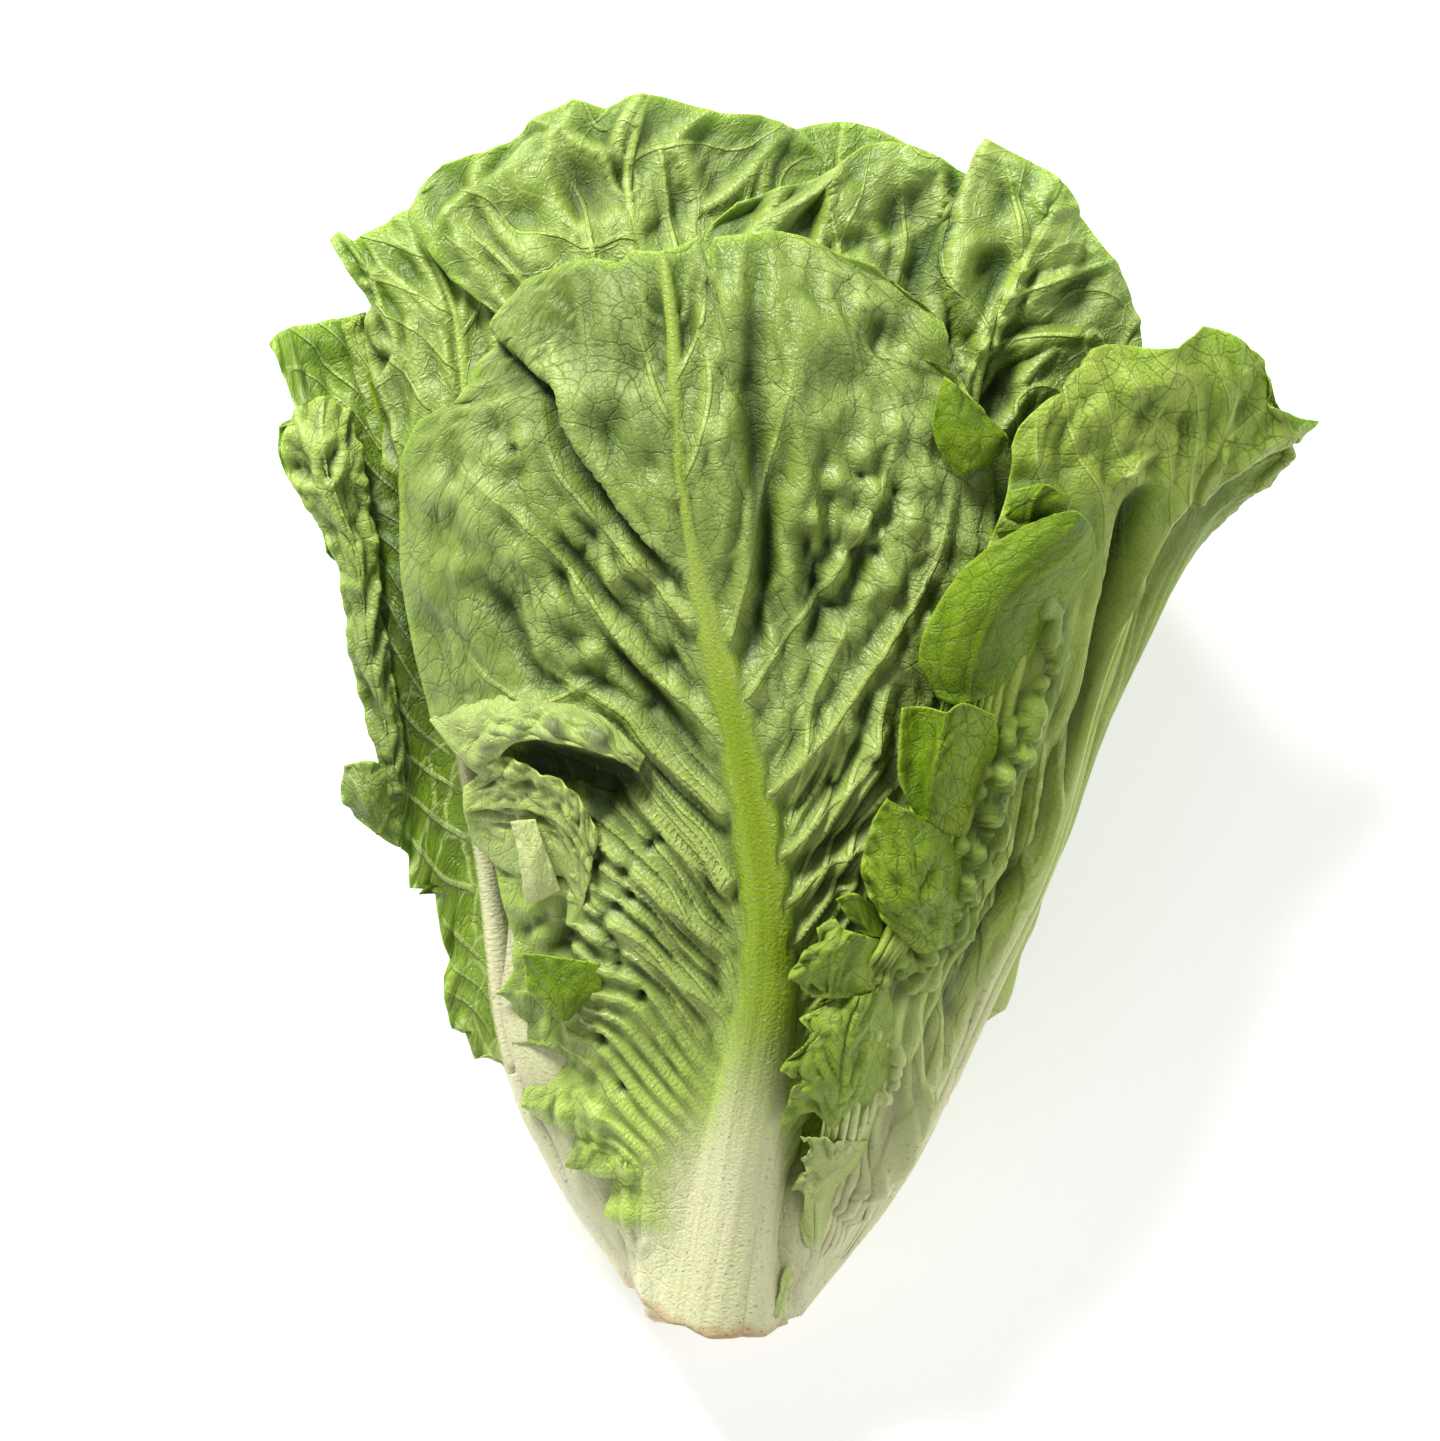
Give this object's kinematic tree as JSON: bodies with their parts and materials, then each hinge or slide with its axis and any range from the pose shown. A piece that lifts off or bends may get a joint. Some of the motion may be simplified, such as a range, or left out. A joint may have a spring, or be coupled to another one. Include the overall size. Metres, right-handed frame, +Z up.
{
  "type": "romaine lettuce head",
  "caption": "Cut romaine lettuce head lying on its back: long overlapping leaves with ribs and frilled margins round a short stem.",
  "frame": {"origin": "centre of the footprint box, on the surface that the head lies on", "axes": "+Y from the cut stem to the leaf tips, +Z up from the surface to the front leaf, +X to the right seen from above with the tips at the top"},
  "size_m": [0.2258, 0.2698, 0.1095],
  "materials": {
    "outer_leaf": "fresh leaf, waxy, mid green with paler veins",
    "inner_leaf": "fresh leaf, glossier and lighter green",
    "heart_leaf": "tender leaf, pale yellow green",
    "pale_stem": "cream cut stem, browned at the rim"
  },
  "bodies": {
    "root": {"stem_butt": "pale_stem", "front_leaf": "outer_leaf", "left_outer_leaf": "outer_leaf", "right_outer_leaf": "outer_leaf", "upper_left_leaf": "inner_leaf", "top_back_leaf": "inner_leaf", "upper_right_leaf": "inner_leaf", "far_top_leaf": "inner_leaf", "under_leaf": "outer_leaf", "under_left_leaf": "inner_leaf", "under_right_leaf": "inner_leaf", "heart_leaf_1": "heart_leaf", "heart_leaf_2": "heart_leaf", "heart_leaf_3": "heart_leaf", "heart_leaf_4": "heart_leaf", "heart_leaf_5": "heart_leaf", "heart_leaf_6": "heart_leaf", "heart_leaf_7": "heart_leaf", "heart_leaf_8": "heart_leaf", "heart_leaf_9": "heart_leaf"}
  },
  "joints": []
}
